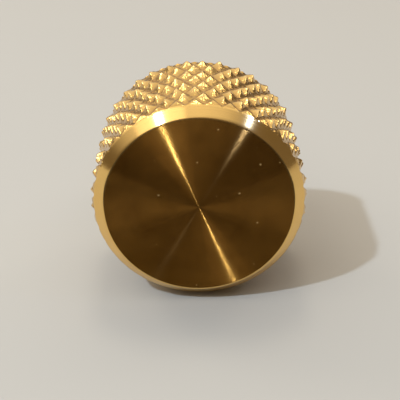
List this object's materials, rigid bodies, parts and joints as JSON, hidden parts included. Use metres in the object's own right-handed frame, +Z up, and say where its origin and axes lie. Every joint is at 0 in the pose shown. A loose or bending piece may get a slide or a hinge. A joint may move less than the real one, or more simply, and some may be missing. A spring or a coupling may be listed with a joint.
{
  "type": "saxophone neck screw",
  "caption": "Solid brass thumbscrew with a heavy diamond-knurled head, chamfered at both ends, and a threaded shank that clamps a saxophone's neck socket.",
  "frame": {"origin": "on the screw's axis, in the plane of the seat under the head, where the shank starts", "axes": "+Y along the shank, from the head to its tip; +Z up, with the screw lying on the knurl of its head; +X to the right as seen from the end face"},
  "size_m": [0.014, 0.021, 0.014],
  "materials": {
    "brass": "turned and knurled, bare and unlacquered"
  },
  "bodies": {
    "root": {"neck_screw": "brass"}
  },
  "joints": []
}
